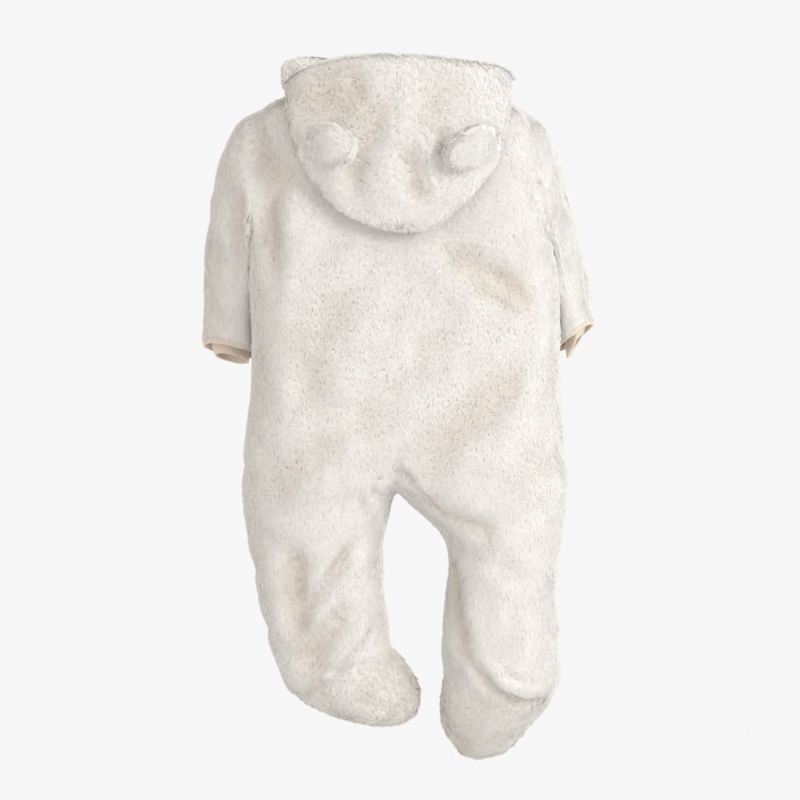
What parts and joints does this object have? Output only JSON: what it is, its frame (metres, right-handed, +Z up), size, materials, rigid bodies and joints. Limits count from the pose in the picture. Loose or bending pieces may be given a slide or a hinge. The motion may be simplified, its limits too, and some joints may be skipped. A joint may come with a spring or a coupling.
{
  "type": "baby hooded romper",
  "caption": "Footed one-piece baby suit in cream teddy fleece, standing hollow, with a hood hanging down the back, small round ears, beige inner cuffs and a front placket",
  "frame": {"origin": "between the shoulders, at their height, in the middle of the romper's depth", "axes": "+Z up along the body, +Y out of the back, +X to the wearer's left, so the front faces -Y"},
  "size_m": [0.3584, 0.1996, 0.639],
  "materials": {
    "cream_plush": "long pile teddy fleece",
    "beige_jersey": "fine rib knit",
    "stud_cap": "satin"
  },
  "bodies": {
    "root": {"back_left": "cream_plush", "back_right": "cream_plush", "binding_left": "beige_jersey", "binding_right": "beige_jersey", "cuff_left": "beige_jersey", "cuff_right": "beige_jersey", "ear_left_inner": "cream_plush", "ear_left_outer": "cream_plush", "ear_right_inner": "cream_plush", "ear_right_outer": "cream_plush", "foot_left": "cream_plush", "foot_right": "cream_plush", "front_left": "cream_plush", "front_right": "cream_plush", "hood_left": "cream_plush", "hood_right": "cream_plush", "placket": "beige_jersey", "sleeve_left": "cream_plush", "sleeve_right": "cream_plush", "sole_left": "cream_plush", "sole_right": "cream_plush", "stud_1": "stud_cap", "stud_2": "stud_cap", "stud_3": "stud_cap", "stud_4": "stud_cap", "stud_5": "stud_cap", "stud_6": "stud_cap"}
  },
  "joints": []
}
